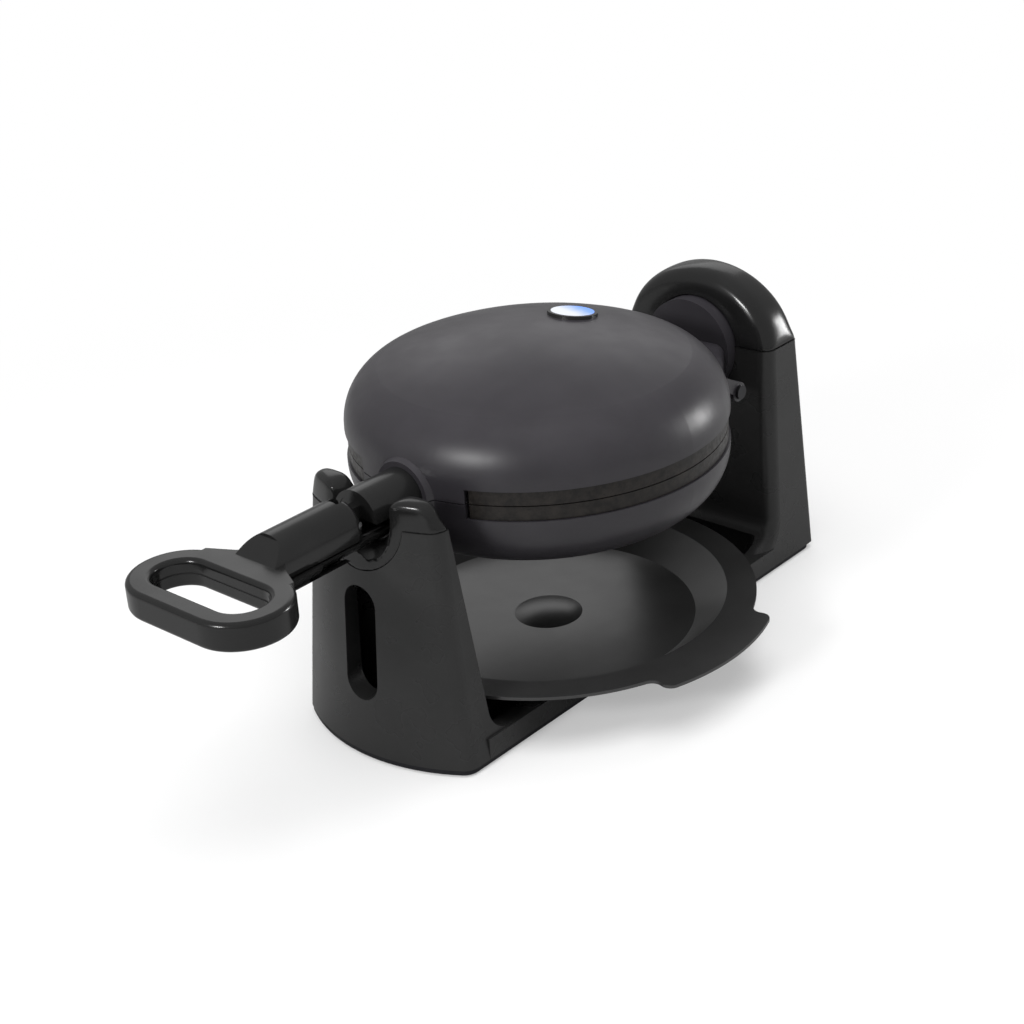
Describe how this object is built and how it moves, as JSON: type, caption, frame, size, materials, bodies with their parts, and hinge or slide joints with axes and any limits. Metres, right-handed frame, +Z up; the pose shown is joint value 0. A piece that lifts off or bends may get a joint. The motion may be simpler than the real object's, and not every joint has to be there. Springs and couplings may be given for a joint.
{
  "type": "rotating belgian waffle maker",
  "caption": "Rotating belgian waffle maker: a hinged round head between a front saddle post and a rear tower, with a loop handle, deep square-pocket plates and a sliding drip tray.",
  "frame": {"origin": "on the table, under the middle of the whole length, on the flip axis's vertical plane", "axes": "+Z up, -Y towards the loop handle (front), +Y towards the rear tower, X across"},
  "size_m": [0.26, 0.448, 0.192],
  "materials": {
    "black_plastic": "glossy near-black moulded housing",
    "graphite_shell": "satin graphite cover",
    "coated_plate": "cast aluminium with a dark release coat",
    "steel": "plain steel",
    "foot_rubber": "matte rubber",
    "bush_plastic": "plain bearing plastic",
    "bottom_plastic": "satin dark grey underside",
    "tray_coat": "satin dark grey coated sheet",
    "lamp_ring": "grey surround",
    "lamp_lens": "cloudy clear lens lit pale blue"
  },
  "bodies": {
    "base": {"base_housing": "black_plastic", "front_saddle": "black_plastic", "tower_cap": "black_plastic", "bottom_plate": "bottom_plastic", "foot_front_left": "foot_rubber", "foot_front_right": "foot_rubber", "foot_rear_left": "foot_rubber", "foot_rear_right": "foot_rubber", "cord_gland": "foot_rubber", "trunnion_bush": "bush_plastic"},
    "tray": {"drip_tray": "tray_coat"},
    "lower_head": {"lower_cover": "graphite_shell", "lower_plate": "coated_plate", "lower_element": "steel", "lower_reflector": "steel", "lower_neck": "black_plastic", "handle_rail": "black_plastic", "hinge_yoke": "graphite_shell", "drum_upper_shell": "graphite_shell", "drum_lower_shell": "graphite_shell", "trunnion": "steel"},
    "hinge_rod": {"hinge_rod": "steel"},
    "lid": {"upper_cover": "graphite_shell", "upper_plate": "coated_plate", "upper_element": "steel", "upper_reflector": "steel", "upper_neck": "black_plastic", "lamp_bezel": "lamp_ring", "lamp_lens": "lamp_lens"},
    "handle": {"handle": "black_plastic", "handle_pin": "steel"}
  },
  "joints": [
    {"name": "flip", "type": "hinge", "parent": "base", "child": "lower_head", "pos_m": [0, 0.038, 0.135], "axis": [0, 1, 0], "range_deg": [-180, 0]},
    {"name": "lid_float", "type": "slide", "parent": "lower_head", "child": "hinge_rod", "axis": [0, 0, 1], "range_m": [0, 0.0038]},
    {"name": "lid", "type": "hinge", "parent": "hinge_rod", "child": "lid", "pos_m": [0, 0.135, 0.135], "axis": [-1, 0, 0], "range_deg": [0, 82]},
    {"name": "handle_lift", "type": "hinge", "parent": "lid", "child": "handle", "pos_m": [0, -0.1115, 0.138], "axis": [-1, 0, 0], "range_deg": [0, 70]},
    {"name": "tray_slide", "type": "slide", "parent": "base", "child": "tray", "axis": [1, 0, 0], "range_m": [0, 0.25]}
  ]
}
